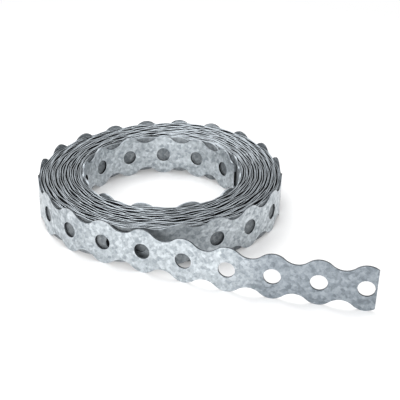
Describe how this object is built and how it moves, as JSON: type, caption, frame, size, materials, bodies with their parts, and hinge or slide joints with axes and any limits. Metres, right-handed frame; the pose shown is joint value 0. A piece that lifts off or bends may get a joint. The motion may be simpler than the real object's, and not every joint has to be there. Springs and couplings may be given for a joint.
{
  "type": "perforated steel strap",
  "caption": "Roll of galvanised steel mounting strap with wavy edges and a row of round holes, its free end drawn out, for hanging pipes and ducts",
  "frame": {"origin": "the axis of the roll at floor level", "axes": "+Z is the axis of the roll and points up, +X is the way the free end of the strap points"},
  "size_m": [0.2033, 0.1572, 0.026],
  "materials": {
    "galvanised_steel": "hot-dip galvanised sheet with a soft zinc spangle"
  },
  "bodies": {
    "root": {"strap": "galvanised_steel"}
  },
  "joints": []
}
